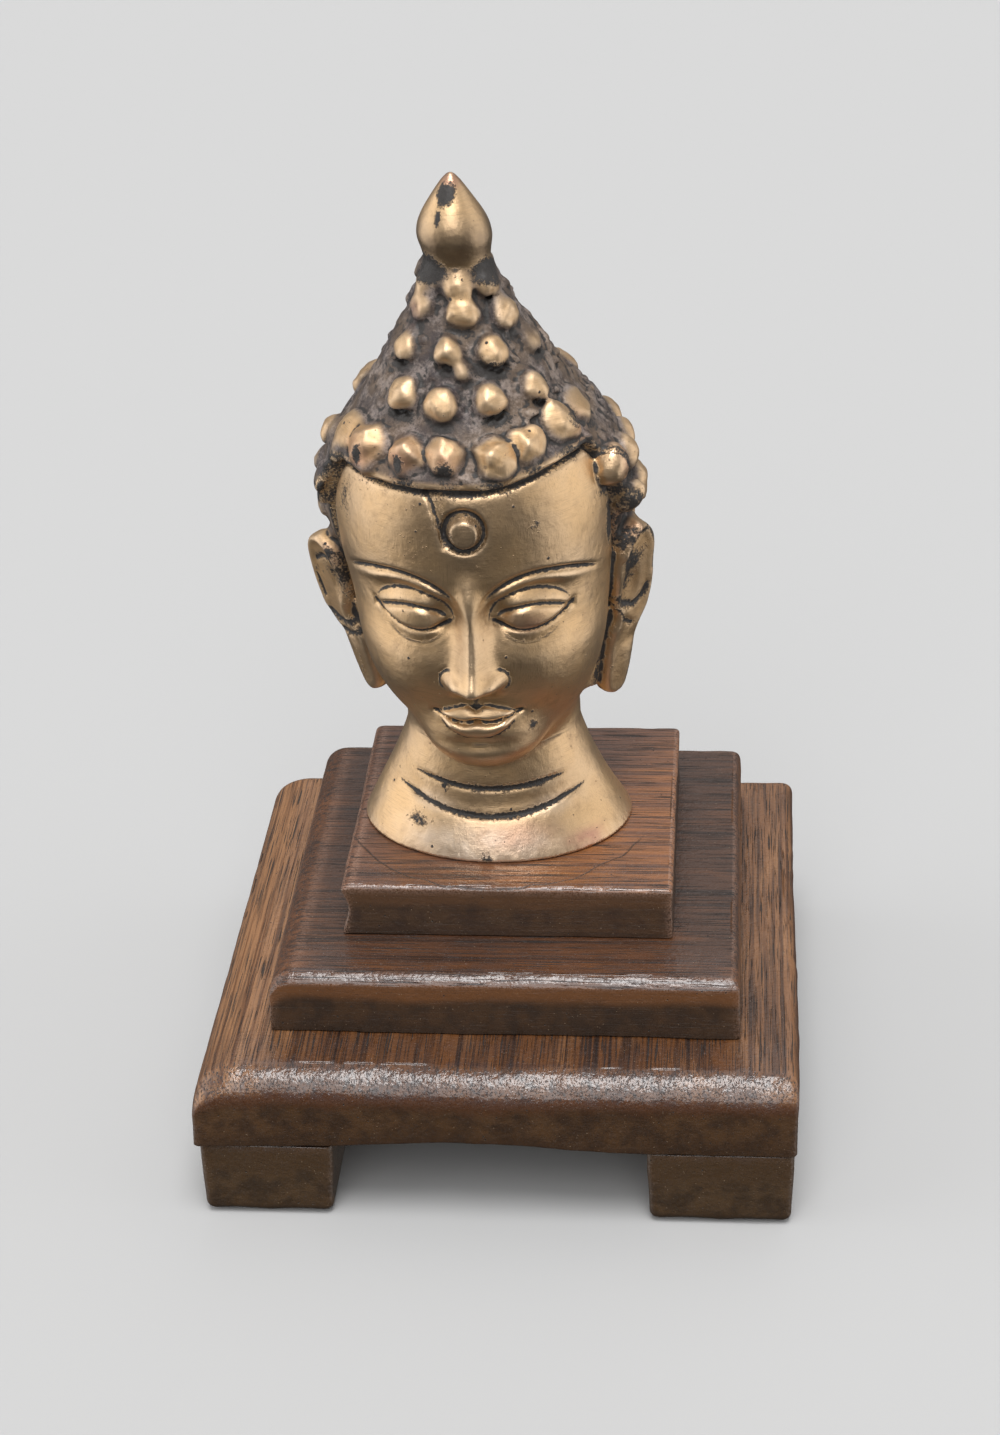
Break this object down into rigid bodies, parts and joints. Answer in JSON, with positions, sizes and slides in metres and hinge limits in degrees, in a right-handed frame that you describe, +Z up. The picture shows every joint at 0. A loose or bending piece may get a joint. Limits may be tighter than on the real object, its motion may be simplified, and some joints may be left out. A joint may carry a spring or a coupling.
{
  "type": "brass buddha bust",
  "caption": "Small cast brass Buddha head with curled hair, a pointed finial and long ears on a flared neck, standing on a stepped square wooden stand with block feet.",
  "frame": {"origin": "on the table, under the middle of the lower board", "axes": "+Z up, the face looks towards -Y, +X to the viewer's right"},
  "size_m": [0.1, 0.1, 0.164],
  "materials": {
    "brass": "polished by hand, with dark patina in the hollows",
    "upper_wood": "dark stained, glossy varnish",
    "middle_wood": "dark stained, glossy varnish",
    "lower_wood": "dark stained open grain, thin varnish",
    "foot_wood": "dark stained end grain"
  },
  "bodies": {
    "root": {"brass_bust": "brass", "upper_board": "upper_wood", "middle_board": "middle_wood", "lower_board": "lower_wood", "foot_front_left": "foot_wood", "foot_front_right": "foot_wood", "foot_back_left": "foot_wood", "foot_back_right": "foot_wood"}
  },
  "joints": []
}
